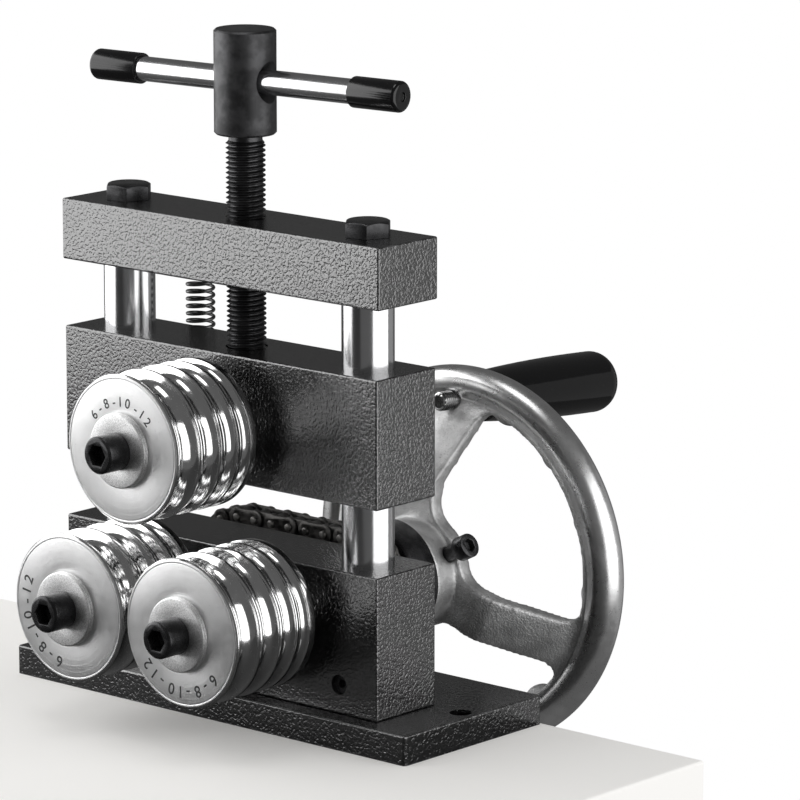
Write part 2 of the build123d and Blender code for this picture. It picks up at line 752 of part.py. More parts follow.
def plate_pair(links, offset, thickness, hole_radius):
    """Figure-of-eight plates on both sides of the chain, drawn once for all the links given."""
    with BuildPart() as plates:
        for side in (1, -1):
            y = chain_y + side * (offset + thickness / 2) - thickness / 2
            for (ax, az), (bx, bz) in links:
                turn = degrees(atan2(bz - az, bx - ax))
                with BuildSketch(across(y)):
                    with Locations(Location(((ax + bx) / 2, (az + bz) / 2, 0), (0, 0, turn))):
                        Rectangle(hypot(bx - ax, bz - az), plate_waist)
                    with Locations((ax, az), (bx, bz)):
                        Circle(plate_height / 2)
                        Circle(hole_radius, mode=Mode.SUBTRACT)
                extrude(amount=-thickness)
    return plates


with BuildPart() as chain_inner_plates:
    add(plate_pair(chain_links[0::2], inner_plate_y, inner_plate_thickness, pin_diameter / 2 + running_clearance).part)
save(chain_inner_plates, "chain_inner_plates")

with BuildPart() as chain_outer_plates:
    add(plate_pair(chain_links[1::2], outer_plate_y, outer_plate_thickness, pin_diameter / 2).part)
save(chain_outer_plates, "chain_outer_plates")

with BuildPart() as chain_rollers:
    with BuildSketch(across(chain_y - chain_inside_width / 2 + plate_play)):
        with Locations(*chain_pins_at):
            Circle(chain_roller_diameter / 2)
            Circle(pin_diameter / 2 + running_clearance, mode=Mode.SUBTRACT)
    extrude(amount=-(chain_inside_width - 2 * plate_play))
save(chain_rollers, "chain_rollers")

with BuildPart() as chain_pins:
    with BuildSketch(across(chain_y - pin_half)):
        with Locations(*chain_pins_at):
            Circle(pin_diameter / 2)
    extrude(amount=-2 * pin_half)
save(chain_pins, "chain_pins")


# ================================================================ return springs, hooked on the anchor screws
def biarc(start, start_way, end, end_way):
    """Two arcs that meet smoothly, leaving start along start_way and reaching end along end_way."""
    span = end - start
    ways = start_way + end_way
    bend = 2 * (1 - start_way.dot(end_way))
    reach = (sqrt(span.dot(ways) ** 2 + bend * span.dot(span)) - span.dot(ways)) / bend
    first, second = start + start_way * reach, end - end_way * reach
    middle = (first + second) * 0.5
    TangentArc(start, middle, tangent=start_way)
    TangentArc(middle, end, tangent=(second - first).normalized())


coil_radius = (spring_diameter - spring_wire) / 2
eye_lift = spring_eye_radius - spring_wire / 2 - anchor_diameter / 2 - touch_gap
body_length = upper_anchor_z - lower_anchor_z - 2 * (spring_eye_rise + eye_lift)
coil_pitch = body_length / spring_turns


def spring_stations(centre):
    """Points and directions down the wire: eye, coil by quarter turns, eye. The lower end is the upper one turned
    half round about X."""
    rise = coil_pitch / (2 * pi)
    quarters = spring_turns * 2
    coil = []
    for i in range(-quarters, quarters + 1):
        angle = i * pi / 2
        point = Vector(coil_radius * cos(angle), coil_radius * sin(angle), rise * angle)
        coil.append((point, Vector(-coil_radius * sin(angle), coil_radius * cos(angle), rise).normalized()))
    eye_z = body_length / 2 + spring_eye_rise
    side = cos(spring_turns * pi)
    eye = []
    for quarter in range(4):
        angle = quarter * pi / 2
        point = Vector(side * spring_eye_radius * cos(angle), 0, eye_z + spring_eye_radius * sin(angle))
        eye.append((point, Vector(-side * sin(angle), 0, cos(angle))))
    flipped = [(Vector(p.X, -p.Y, -p.Z), Vector(-w.X, w.Y, w.Z)) for p, w in reversed(eye)]
    return [(centre + p, w) for p, w in flipped + coil + eye]


spring_middle_z = (upper_anchor_z + lower_anchor_z) / 2
for label, x in (("return_spring_left", -spring_spacing / 2), ("return_spring_right", spring_spacing / 2)):
    wire_points = spring_stations(Vector(x, spring_y, spring_middle_z))
    with BuildPart() as spring:
        with BuildLine() as wire:
            for (p, p_way), (q, q_way) in zip(wire_points, wire_points[1:]):
                biarc(p, p_way, q, q_way)
        start, start_way = wire_points[0]
        with BuildSketch(Plane(start, z_dir=start_way)):
            Circle(spring_wire / 2)
        path = wire.wire()
        sweep(path=path)
    save(spring, label)

samples = [path @ (i / 1200) for i in range(1201)]
step_length = path.length / 1200
skip = int(3 * spring_wire / step_length) + 1
least = min((samples[i] - samples[j]).length for i in range(1201) for j in range(i + skip, 1201))
print(f"return spring: pitch {coil_pitch:.2f}, wire length {path.length:.0f}, "
      f"least gap to itself {least - spring_wire:.2f} mm")


# ================================================================ handwheel
wheel_x, wheel_z = stations["drive"]
wheel_line = shaft_line(wheel_x, wheel_z)

with BuildPart() as spacer_collar:
    revolve(turned(wheel_x, wheel_z, (collar_start, shaft_diameter / 2), (collar_start, collar_diameter / 2 - 1),
                   (collar_start + 1, collar_diameter / 2), (hub_start, collar_diameter / 2),
                   (hub_start, shaft_diameter / 2)),
            axis=wheel_line)
save(spacer_collar, "spacer_collar")

arm_angles = [arm_angle + i * 360 / arm_count for i in range(arm_count)]
web_y = hub_start + web_setback
arm_tip_y = rim_y - rim_thickness / 2 + 1.0
rim_inside = rim_radius - rim_thickness / 2
grip_radius_on_wheel = wheel_diameter / 2 - grip_inset
stud_way = Vector(-sin(radians(grip_lean)) * cos(radians(arm_angle)), cos(radians(grip_lean)),
                  -sin(radians(grip_lean)) * sin(radians(arm_angle)))
stud_side = Vector(cos(radians(grip_lean)) * cos(radians(arm_angle)), sin(radians(grip_lean)),
                   cos(radians(grip_lean)) * sin(radians(arm_angle)))
boss_face_y = rim_y - rim_thickness / 4
stud_root = Vector(wheel_x + grip_radius_on_wheel * cos(radians(arm_angle)), boss_face_y,
                   wheel_z + grip_radius_on_wheel * sin(radians(arm_angle)))
stud_plane = Plane(stud_root, x_dir=stud_way, z_dir=stud_way.cross(stud_side))
stud_line = Axis(stud_root, stud_way)

with BuildPart() as handwheel:
    # arms: a three-armed star with rounded corners, kept where it meets a plate that is flat at the hub and
    # dished towards the rim
    with BuildSketch(across(hub_start)):
        with Locations((wheel_x, wheel_z)):
            Circle(rim_radius)
            Circle(rim_inside, mode=Mode.SUBTRACT)
            Circle(wheel_hub_diameter / 2 + 1)
            for angle in arm_angles:
                with PolarLocations(rim_radius / 2, 1, start_angle=angle):
                    Rectangle(rim_radius, arm_width)
            # the arm that carries the grip widens towards the rim
            with PolarLocations(0, 1, start_angle=arm_angle):
                Polygon((web_radius, -arm_width / 2), (rim_radius, -crank_arm_width / 2),
                        (rim_radius, crank_arm_width / 2), (web_radius, arm_width / 2), align=None)
    extrude(amount=-rim_setback - rim_thickness)
    corner_lines = handwheel.edges().filter_by(Axis.Y)
    fillet(corner_lines.filter_by(
        lambda e: hypot(e.center().X - wheel_x, e.center().Z - wheel_z) < wheel_hub_diameter / 2 + 2), arm_root_fillet)
    corner_lines = handwheel.edges().filter_by(Axis.Y)
    fillet(corner_lines.filter_by(
        lambda e: abs(hypot(e.center().X - wheel_x, e.center().Z - wheel_z) - rim_inside) < 0.5), arm_rim_fillet)
    revolve(turned(wheel_x, wheel_z, (web_y, 0), (web_y + 0.5, web_radius - 3), (web_y + 3, web_radius + 3),
                   (arm_tip_y, rim_inside), (arm_tip_y + 2, rim_radius), (arm_tip_y + arm_thickness + 2, rim_radius),
                   (arm_tip_y + arm_thickness, rim_inside), (web_y + arm_thickness + 3.5, web_radius + 2),
                   (web_y + arm_thickness + 0.5, web_radius - 5), (web_y + arm_thickness, 0)),
            axis=wheel_line, mode=Mode.INTERSECT)
    # hub
    revolve(turned(wheel_x, wheel_z, (hub_start, 0), (hub_start, wheel_hub_diameter / 2 - 1),
                   (hub_start + 1, wheel_hub_diameter / 2), (hub_end - 3, wheel_hub_diameter / 2 - 2),
                   (hub_end, wheel_hub_diameter / 2 - 5), (hub_end, 0)),
            axis=wheel_line)
    # rim, with the finger bumps on its inner back side
    with BuildSketch(Plane((wheel_x, rim_y, wheel_z), x_dir=(0, 1, 0), z_dir=(1, 0, 0))):
        with Locations((0, rim_radius)):
            Circle(rim_thickness / 2)
    revolve(axis=wheel_line)
    with Locations(Plane((wheel_x, rim_y + finger_bump_back, wheel_z), x_dir=(1, 0, 0), z_dir=(0, -1, 0))):
        for angle in (finger_bump_angle + i * 360 / finger_bumps for i in range(finger_bumps)):
            # none where the grip's boss stands
            if abs(angle - arm_angle) > 180 / finger_bumps:
                with PolarLocations(rim_radius - finger_bump_inward, 1, start_angle=angle):
                    Sphere(finger_bump_radius)
    # boss for the grip's stud
    with BuildSketch(stud_plane):
        with Locations((stud_boss_length / 2, stud_boss_diameter / 4)):
            Rectangle(stud_boss_length, stud_boss_diameter / 2)
    revolve(axis=stud_line)
    with BuildSketch(Plane(stud_root - stud_way * stud_stand_out * 2, z_dir=stud_way)):
        Circle(stud_diameter / 2)
    extrude(amount=stud_stand_out * 2 + stud_boss_length, mode=Mode.SUBTRACT)
    # bore, and the tapped hole of the clamping screw
    with BuildSketch(across(hub_start)):
        with Locations((wheel_x, wheel_z)):
            Circle(shaft_diameter / 2)
    extrude(amount=-wheel_hub_length, mode=Mode.SUBTRACT)
    screw_way = Vector(cos(radians(wheel_screw_angle)), 0, sin(radians(wheel_screw_angle)))
    screw_root = Vector(wheel_x, hub_start + wheel_screw_setback, wheel_z)
    with BuildSketch(Plane(screw_root, z_dir=screw_way)):
        Circle(wheel_screw_diameter / 2)
    extrude(amount=wheel_hub_diameter, mode=Mode.SUBTRACT)
save(handwheel, "handwheel")

with BuildPart() as wheel_screw:
    head_root = wheel_hub_diameter / 2 + wheel_screw_stand_out
    with BuildSketch(Plane(screw_root + screw_way * (shaft_diameter / 2 + touch_gap), z_dir=screw_way)):
        Circle(wheel_screw_diameter / 2)
    extrude(amount=head_root - shaft_diameter / 2 - touch_gap)
    with BuildSketch(Plane(screw_root + screw_way * head_root, z_dir=screw_way)):
        Circle(wheel_screw_head_diameter / 2)
    extrude(amount=wheel_screw_head_length)
    with BuildSketch(Plane(screw_root + screw_way * (head_root + wheel_screw_head_length), z_dir=screw_way)):
        RegularPolygon(wheel_socket_across / 2, 6, major_radius=False)
    extrude(amount=-wheel_screw_head_length / 2, mode=Mode.SUBTRACT)
save(wheel_screw, "wheel_screw")

grip_start = stud_boss_length + stud_collar_length + 0.5
grip_end = grip_start + grip_length
spindle_end = grip_end - grip_end_wall
with BuildPart() as handle_stud:
    with BuildSketch(stud_plane):
        with BuildLine():
            Polyline((-stud_stand_out, 0), (-stud_stand_out, stud_diameter / 2 - 0.8),
                     (-stud_stand_out + 0.8, stud_diameter / 2), (stud_boss_length, stud_diameter / 2),
                     (stud_boss_length, stud_collar_diameter / 2),
                     (stud_boss_length + stud_collar_length, stud_collar_diameter / 2),
                     (stud_boss_length + stud_collar_length, spindle_diameter / 2),
                     (spindle_end - spindle_head_length, spindle_diameter / 2),
                     (spindle_end - spindle_head_length, spindle_head_diameter / 2),
                     (spindle_end, spindle_head_diameter / 2), (spindle_end, 0), close=True)
        make_face()
    revolve(axis=stud_line)
save(handle_stud, "handle_stud")

with BuildPart() as hand_grip:
    neck, full = grip_neck_diameter / 2, grip_diameter / 2
    with BuildSketch(stud_plane):
        with BuildLine():
            ThreePointArc((grip_start, neck), (grip_start + grip_length * 0.38, neck + (full - neck) * 0.72),
                          (grip_end - grip_end_round * 1.6, full))
            belly = Line((grip_end - grip_end_round * 1.6, full), (grip_end - grip_end_round, full))
            RadiusArc((grip_end - grip_end_round, full), (grip_end, full - grip_end_round), grip_end_round)
            Polyline((grip_end, full - grip_end_round), (grip_end, 0), (spindle_end + 1, 0),
                     (spindle_end + 1, spindle_head_diameter / 2 + 0.5),
                     (spindle_end - spindle_head_length - 1, spindle_head_diameter / 2 + 0.5),
                     (spindle_end - spindle_head_length - 1, spindle_diameter / 2 + running_clearance),
                     (grip_start, spindle_diameter / 2 + running_clearance), (grip_start, neck))
        make_face()
    revolve(axis=stud_line)
save(hand_grip, "hand_grip")

gap = hypot(axis_x, top_axis_z - lower_axis_z) - roller_diameter
travel = top_axis_z - lower_axis_z - sqrt((roller_diameter + 0.3) ** 2 - axis_x ** 2)
print(f"gap between the rollers at rest {gap:.2f}, slider travel down {travel:.2f}, up {gap_over_slider:.2f}")
print(f"chain pins {len(chain_pins_at)}, pitch radius {pitch_radius:.2f}, shafts {2 * axis_x:.2f} apart")
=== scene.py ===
import json
from math import asin, cos, pi, radians, sin

import bpy
from bpy.props import FloatProperty, FloatVectorProperty, IntProperty, PointerProperty
from mathutils import Matrix, Vector


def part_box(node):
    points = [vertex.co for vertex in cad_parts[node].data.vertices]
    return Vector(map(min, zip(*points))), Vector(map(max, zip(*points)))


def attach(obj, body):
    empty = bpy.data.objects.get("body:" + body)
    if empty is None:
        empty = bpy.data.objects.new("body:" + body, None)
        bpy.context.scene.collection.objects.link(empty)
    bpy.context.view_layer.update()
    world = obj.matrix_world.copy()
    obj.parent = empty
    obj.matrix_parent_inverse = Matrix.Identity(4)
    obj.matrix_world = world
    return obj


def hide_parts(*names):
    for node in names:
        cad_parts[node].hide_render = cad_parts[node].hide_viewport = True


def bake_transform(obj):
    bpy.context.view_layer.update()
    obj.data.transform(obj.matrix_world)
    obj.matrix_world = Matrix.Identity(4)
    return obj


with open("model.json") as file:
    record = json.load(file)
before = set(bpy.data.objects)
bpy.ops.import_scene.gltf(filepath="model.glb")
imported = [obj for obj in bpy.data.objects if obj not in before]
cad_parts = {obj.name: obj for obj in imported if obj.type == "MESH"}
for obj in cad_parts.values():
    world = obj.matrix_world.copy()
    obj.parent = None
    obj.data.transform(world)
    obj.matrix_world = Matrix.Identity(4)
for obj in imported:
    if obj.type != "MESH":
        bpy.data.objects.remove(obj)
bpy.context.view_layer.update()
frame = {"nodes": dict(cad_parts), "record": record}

bl_info = {
    "name": "Ring roller",
    "version": (1, 0, 0),
    "blender": (4, 5, 0),
    "location": "3D View > Sidebar > Ring roller",
    "description": "Dresses the packed ring roller with its turned, painted, cast and chained pieces",
    "category": "Add Mesh",
}

MM = 0.001
# depth of a V thread as a share of its pitch
THREAD_DEPTH = 0.6134
record = frame["record"]
nodes = frame["nodes"]
joints = {joint["name"]: joint for joint in record["behaviour"]["joints"]}

# the three shaft lines: (x, z) in metres
stations = {name: (sum(corner.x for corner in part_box(name + "_roller")) / 2,
                   sum(corner.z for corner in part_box(name + "_roller")) / 2)
            for name in ("top", "left", "drive")}
station_body = {"top": "top_rolls", "left": "left_rolls", "drive": "drive"}


# ---------------------------------------------------------------- settings that a user would change
class TurningSettings(bpy.types.PropertyGroup):
    """Rollers, washers and what clamps them"""
    edge_break: FloatProperty(name="Edge break", description="Round left on the edges of turned steel",
                              default=0.22 * MM, unit="LENGTH", precision=5)
    steps: IntProperty(name="Steps", description="Facets once round a roller", default=160, min=32)
    arc_steps: IntProperty(name="Groove steps", description="Facets across one groove", default=18, min=6)
    face_lines: FloatProperty(name="Face lines", description="Depth of the turning lines on the roller faces",
                              default=0.055 * MM, unit="LENGTH", precision=6)
    mark_height: FloatProperty(name="Number height", description="Height of the groove numbers",
                               default=4.9 * MM, unit="LENGTH", precision=5)
    mark_radius: FloatProperty(name="Number circle", description="Radius of the circle that the numbers stand on",
                               default=21.2 * MM, unit="LENGTH", precision=5)


class ThreadSettings(bpy.types.PropertyGroup):
    """Screw threads"""
    screw_pitch: FloatProperty(name="Screw pitch", description="Pitch of the lead screw", default=2.0 * MM,
                               unit="LENGTH", precision=5)
    stud_pitch: FloatProperty(name="Stud pitch", description="Pitch of the grip's stud", default=1.25 * MM,
                              unit="LENGTH", precision=5)
    steps: IntProperty(name="Steps", description="Facets once round a thread", default=48, min=16)


class CastingSettings(bpy.types.PropertyGroup):
    """The cast handwheel"""
    tube: FloatProperty(name="Rim tube", description="Radius of the rim's round section", default=7.5 * MM,
                        unit="LENGTH", precision=5)
    rim_back: FloatProperty(name="Rim back", description="From the wheel's back to the middle of its rim",
                            default=10.0 * MM, unit="LENGTH", precision=5)
    voxel: FloatProperty(name="Voxel", description="Cell size of the casting's skin", default=0.95 * MM,
                         unit="LENGTH", precision=5)
    smoothing: IntProperty(name="Smoothing", description="Passes that round the casting's corners", default=7,
                           min=0)
    grain: FloatProperty(name="Grain", description="Depth of the sand-cast grain", default=0.48 * MM,
                         unit="LENGTH", precision=5)


class ColourSettings(bpy.types.PropertyGroup):
    """Colours of the finishes"""
    paint: FloatVectorProperty(name="Paint", description="Black wrinkle paint", subtype="COLOR",
                               default=(0.0025, 0.0025, 0.0026), min=0, max=1)
    oxide: FloatVectorProperty(name="Black oxide", description="Blackened screws and boss", subtype="COLOR",
                               default=(0.060, 0.060, 0.062), min=0, max=1)
    chrome: FloatVectorProperty(name="Chrome", description="Posts and tommy bar", subtype="COLOR",
                                default=(0.80, 0.80, 0.81), min=0, max=1)
    steel: FloatVectorProperty(name="Bright steel", description="Rollers and shafts", subtype="COLOR",
                               default=(0.96, 0.96, 0.96), min=0, max=1)
    zinc: FloatVectorProperty(name="Zinc", description="Washers", subtype="COLOR",
                              default=(0.90, 0.90, 0.90), min=0, max=1)
    casting: FloatVectorProperty(name="Casting", description="Nickel-plated handwheel", subtype="COLOR",
                                 default=(0.86, 0.86, 0.86), min=0, max=1)
    plastic: FloatVectorProperty(name="Plastic", description="Hand grip and end caps", subtype="COLOR",
                                 default=(0.003, 0.003, 0.0033), min=0, max=1)
    chain: FloatVectorProperty(name="Chain", description="Oiled chain steel", subtype="COLOR",
                               default=(0.115, 0.112, 0.108), min=0, max=1)
    bench: FloatVectorProperty(name="Bench", description="The pale bench top", subtype="COLOR",
                               default=(0.80, 0.79, 0.77), min=0, max=1)


class StageSettings(bpy.types.PropertyGroup):
    """Camera, bench and lamps"""
    lens: FloatProperty(name="Lens", description="Focal length on a 36 mm sensor, in millimetres", default=238.45)
    distance: FloatProperty(name="Distance", description="From the aim point to the camera", default=2.0702,
                            unit="LENGTH")
    azimuth: FloatProperty(name="Azimuth", description="Camera's turn to the right of the front",
                           default=radians(41.34), subtype="ANGLE")
    elevation: FloatProperty(name="Elevation", description="Camera's height angle", default=radians(12.04),
                             subtype="ANGLE")
    aim: FloatVectorProperty(name="Aim", description="Point that the camera looks at", subtype="TRANSLATION",
                             default=(0.08166, 0, 0.13832))
    key: FloatProperty(name="Key", description="Brightness of the tall panel at the front left", default=2.3)
    side: FloatProperty(name="Side", description="Brightness of the tall panel at the right", default=1.6)
    back: FloatProperty(name="Back", description="Brightness of the panel behind on the right", default=0.18)
    top: FloatProperty(name="Top", description="Brightness of the panel overhead", default=2.6)


# ---------------------------------------------------------------- shader sums
class Signal:
    """A node's output that takes part in sums: each operator adds the Math node that it needs."""

    def __init__(self, finish, socket):
        self.finish, self.socket = finish, socket

    def maths(self, operation, *terms):
        return self.finish.add("ShaderNodeMath", {"operation": operation}, dict(enumerate(terms)))

    def __add__(self, other):
        return self.maths("ADD", self, other)

    __radd__ = __add__

    def __mul__(self, other):
        return self.maths("MULTIPLY", self, other)

    __rmul__ = __mul__

    def __sub__(self, other):
        return self.maths("SUBTRACT", self, other)

    def __rsub__(self, other):
        return self.maths("SUBTRACT", other, self)

    def least(self, other):
        return self.maths("MINIMUM", self, other)

    def most(self, other):
        return self.maths("MAXIMUM", self, other)

    def root(self):
        return self.maths("SQRT", self)

    def size(self):
        return self.maths("ABSOLUTE", self)

    def rise(self, low, high):
        """0 below low, 1 above high, smooth between them."""
        return self.finish.add("ShaderNodeMapRange", {"interpolation_type": "SMOOTHSTEP"},
                               {"Value": self, "From Min": low, "From Max": high})


class Finish:
    """A material in the making. Its nodes all come from add(), and its places are in millimetres."""

    def __init__(self, name, centre=(0, 0, 0)):
        self.material = bpy.data.materials.new(name)
        self.material.use_nodes = True
        self.tree = self.material.node_tree
        self.tree.nodes.clear()
        spot = self.add("ShaderNodeTexCoord", out="Object")
        moved = self.add("ShaderNodeVectorMath", {"operation": "SUBTRACT"}, {0: spot, 1: tuple(centre)})
        self.place = self.add("ShaderNodeVectorMath", {"operation": "SCALE"}, {0: moved, "Scale": 1 / MM})
        self.x, self.y, self.z = (self.add("ShaderNodeSeparateXYZ", sockets={0: self.place}, out=axis)
                                  for axis in range(3))

    def add(self, kind, settings=None, sockets=None, out=0):
        node = self.tree.nodes.new(kind)
        for key, value in (settings or {}).items():
            if key == "stops":
                ramp = node.color_ramp
                ramp.elements.remove(ramp.elements[1])
                ramp.elements[0].position, ramp.elements[0].color = value[0][0], grey(value[0][1])
                for position, colour in value[1:]:
                    ramp.elements.new(position).color = grey(colour)
            else:
                setattr(node, key, value)
        for key, value in (sockets or {}).items():
            if isinstance(value, Signal):
                self.tree.links.new(value.socket, node.inputs[key])
            else:
                node.inputs[key].default_value = value
        return Signal(self, node.outputs[out])

    def noise(self, size, detail=2.0, at=None, roughness=0.5, distortion=0.0):
        """Cloudy noise with features of about size millimetres."""
        return self.add("ShaderNodeTexNoise", {"noise_dimensions": "3D"},
                        {"Vector": at or self.place, "Scale": 1 / size, "Detail": detail, "Roughness": roughness,
                         "Distortion": distortion})

    def lines(self, along, size, detail=2.0):
        """Noise in one direction only, as a lathe tool or a brush leaves it."""
        return self.add("ShaderNodeTexNoise", {"noise_dimensions": "1D"},
                        {"W": along, "Scale": 1 / size, "Detail": detail, "Roughness": 0.6})

    def cells(self, size, feature="F1", at=None, randomness=1.0):
        return self.add("ShaderNodeTexVoronoi", {"feature": feature},
                        {"Vector": at or self.place, "Scale": 1 / size, "Randomness": randomness})

    def mix(self, factor, a, b):
        """Colour a where factor is 0 and colour b where it is 1."""
        return self.add("ShaderNodeMix", {"data_type": "RGBA"},
                        {0: factor, 6: a if isinstance(a, Signal) else grey(a),
                         7: b if isinstance(b, Signal) else grey(b)}, out=2)

    def bump(self, height, depth, normal=None):
        """A normal from a height of 0 to 1 that stands for depth metres."""
        sockets = {"Height": height, "Distance": depth, "Strength": 1.0}
        if normal:
            sockets["Normal"] = normal
        return self.add("ShaderNodeBump", sockets=sockets)

    def done(self, colour, roughness, metallic=1.0, normal=None, **constants):
        sockets = {"Base Color": colour if isinstance(colour, Signal) else grey(colour), "Roughness": roughness,
                   "Metallic": metallic}
        if normal:
            sockets["Normal"] = normal
        sockets.update({key.replace("_", " "): value for key, value in constants.items()})
        shader = self.add("ShaderNodeBsdfPrincipled", sockets=sockets)
        self.add_output(shader)
        return self.material

    def add_output(self, shader):
        output = self.tree.nodes.new("ShaderNodeOutputMaterial")
        self.tree.links.new(shader.socket, output.inputs["Surface"])


def grey(colour):
    """Four channels from a single level or from three."""
    return (colour, colour, colour, 1.0) if isinstance(colour, (int, float)) else (*tuple(colour)[:3], 1.0)


def scaled(colour, factor):
    return tuple(channel * factor for channel in colour)


def colours():
    return bpy.context.scene.ring_roller_colours


# ---------------------------------------------------------------- finishes
def wrinkle_paint(name, low, high):
    """Black wrinkle paint: soft close bumps, a little grit, and edges painted lighter here and there, partly as
    paint rubbed to the metal and partly as a painted highlight along the edges.
    """
    f = Finish(name)
    skin = f.noise(1.25, 1.5, distortion=0.3)
    grit = f.noise(0.45, 2.0)
    orange_peel = skin.rise(0.26, 0.58) * 0.8 + grit * 0.2
    patches = f.noise(22, 2.0)
    gaps = [(coordinate - edge[0] / MM).least(edge[1] / MM - coordinate).size()
            for coordinate, edge in zip((f.x, f.y, f.z), zip(low, high))]
    # the middle one of the three distances tells how near an edge is
    near_edge = gaps[0].least(gaps[1]).most(gaps[0].most(gaps[1]).least(gaps[2]))
    # lighter, part-metal grey along every edge, broken by noise: partly rubbed-through paint, partly a painted
    # edge highlight
    rubbed_and_edge_highlight = (1 - near_edge.rise(0.15, 0.75)) * f.noise(5.5, 3.0).rise(0.44, 0.66)
    colour = f.mix(rubbed_and_edge_highlight * 0.8, f.mix(patches.rise(0.35, 0.65), colours().paint, scaled(colours().paint, 1.5)),
                   (0.16, 0.16, 0.165))
    roughness = 0.15 + 0.08 * patches
    normal = f.bump(orange_peel, 0.12 * MM)
    return f.done(colour, roughness, metallic=rubbed_and_edge_highlight * 0.6, normal=normal, IOR=1.9, Specular_IOR_Level=1.0)


def black_oxide(name, grain=0.30, roughness=0.28, brightness=1.0):
    """Blackened steel: satin, finely grained, browner and duller in patches."""
    f = Finish(name)
    fine = f.noise(grain, 3.0)
    patches = f.noise(7, 3.0)
    colour = f.mix(patches.rise(0.38, 0.66), scaled(colours().oxide, 0.75 * brightness),
                   scaled(colours().oxide, 1.45 * brightness))
    return f.done(colour, roughness + 0.16 * (fine - 0.5) + 0.1 * (patches - 0.5), metallic=0.85,
                  normal=f.bump(fine, 0.03 * MM))


def hard_chrome(name, direction="z"):
    """Polished bar: long faint lines of the grinding wheel and a few hazy patches."""
    f = Finish(name)
    along = {"x": f.x, "z": f.z}[direction]
    rings = f.lines(along, 0.22, 3.0)
    haze = f.noise(9, 3.0)
    colour = f.mix(haze, scaled(colours().chrome, 0.92), colours().chrome)
    return f.done(colour, 0.13 + 0.06 * haze + 0.04 * rings, normal=f.bump(rings, 0.0012 * MM))


def turned_steel(name, station, face_y, lines=None):
    """Turned and polished steel: lines round the axis, on the faces by radius and on the sides by depth."""
    x, z = stations[station]
    f = Finish(name, (x, 0, z))
    radius = (f.x * f.x + f.z * f.z).root()
    on_face = 1 - f.y.rise(face_y / MM + 0.25, face_y / MM + 0.55)
    face_lines = f.lines(radius, 0.16, 2.5)
    side_lines = f.lines(f.y, 0.13, 2.5)
    smudges = f.noise(4.5, 3.0)
    pits = f.noise(0.55, 2.0).rise(0.66, 0.78)
    height = face_lines * on_face + side_lines * 0.05 * (1 - on_face)
    depth = lines if lines is not None else bpy.context.scene.ring_roller_turning.face_lines
    normal = f.bump(height, depth)
    colour = f.mix(pits * 0.35, f.mix(smudges, scaled(colours().steel, 0.9), colours().steel), 0.25)
    roughness = 0.10 + 0.08 * smudges.rise(0.4, 0.75) + 0.27 * on_face + 0.2 * pits
    return f.done(colour, roughness, normal=normal)


def zinc_plate(name, station, face_y):
    """Matte zinc with a crystalline sparkle."""
    x, z = stations[station]
    f = Finish(name, (x, 0, z))
    grains = f.cells(0.55)
    fine = f.noise(0.35, 3.0)
    patches = f.noise(5, 3.0)
    colour = f.mix(fine.rise(0.35, 0.68), scaled(colours().zinc, 0.72), scaled(colours().zinc, 1.2))
    return f.done(colour, 0.36 + 0.14 * patches + 0.1 * fine, normal=f.bump(fine * 0.7 + grains * 0.3, 0.05 * MM))


def nickel_casting(name):
    """Nickel on a sand casting: grainy arms, hub and finger bumps, and a rim polished but for its inner back."""
    f = Finish(name, (stations["drive"][0], 0, stations["drive"][1]))
    across = (f.x * f.x + f.z * f.z).root()
    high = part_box("handwheel")[1]
    settings = bpy.context.scene.ring_roller_casting
    tube = settings.tube / MM
    ring = (high.x - stations["drive"][0]) / MM - tube
    rim_y = (high.y - settings.rim_back) / MM
    off = across - ring
    depth = f.y - rim_y
    tube_distance = (off * off + depth * depth).root()
    # polished where the surface is the tube itself, and duller at its inner back
    on_tube = (1 - tube_distance.rise(tube + 0.15, tube + 0.9)) * across.rise(ring - 7.2, ring - 6.2)
    polish = on_tube * (1 - (depth - off).rise(7.0, 10.0))
    sand = f.noise(0.75, 3.0)
    coarse = f.noise(2.6, 2.0)
    stains = f.noise(9, 4.0)
    specks = f.noise(0.8, 2.0).rise(0.68, 0.74)
    cast_height = sand * 0.6 + coarse * 0.4
    polished_height = 0.03 * f.noise(1.6, 3.0) + 0.02 * f.lines(across * 0.7 + f.y * 0.7, 0.5)
    height = cast_height * (1 - polish) + polished_height * polish
    dark = f.mix(stains.rise(0.35, 0.7), scaled(colours().casting, 0.70), scaled(colours().casting, 1.0))
    bright = f.mix(stains.rise(0.45, 0.8), colours().casting, scaled(colours().casting, 1.25))
    colour = f.mix(specks * 0.6, f.mix(polish, dark, bright), 0.10)
    roughness = 0.50 + 0.1 * coarse - polish * (0.30 - 0.08 * stains)
    return f.done(colour, roughness, normal=f.bump(height, settings.grain))


def gloss_black(name, roughness=0.10):
    """Moulded or lacquered black with a faint unevenness under the shine."""
    f = Finish(name)
    flow = f.noise(6, 2.0)
    dust = f.noise(0.5, 2.0).rise(0.66, 0.8)
    colour = f.mix(dust * 0.5, colours().plastic, 0.05)
    return f.done(colour, roughness + 0.05 * flow + 0.15 * dust, metallic=0.0, normal=f.bump(flow, 0.03 * MM),
                  Specular_IOR_Level=0.6)


def spring_wire(name):
    f = Finish(name)
    drawn = f.noise(0.25, 3.0)
    patches = f.noise(5, 2.0)
    colour = f.mix(patches, (0.10, 0.10, 0.10), (0.22, 0.22, 0.22))
    return f.done(colour, 0.26 + 0.12 * drawn, normal=f.bump(drawn, 0.008 * MM))


def chain_steel(name, brightness=1.0):
    """Oiled chain: dark, streaky, with a thin film that shines in places."""
    f = Finish(name)
    fine = f.noise(0.3, 3.0)
    oil = f.noise(3.2, 3.0).rise(0.42, 0.62)
    colour = f.mix(oil, scaled(colours().chain, 1.25 * brightness), scaled(colours().chain, 0.65 * brightness))
    return f.done(colour, 0.44 - 0.18 * oil + 0.1 * fine, metallic=0.9, normal=f.bump(fine, 0.02 * MM))


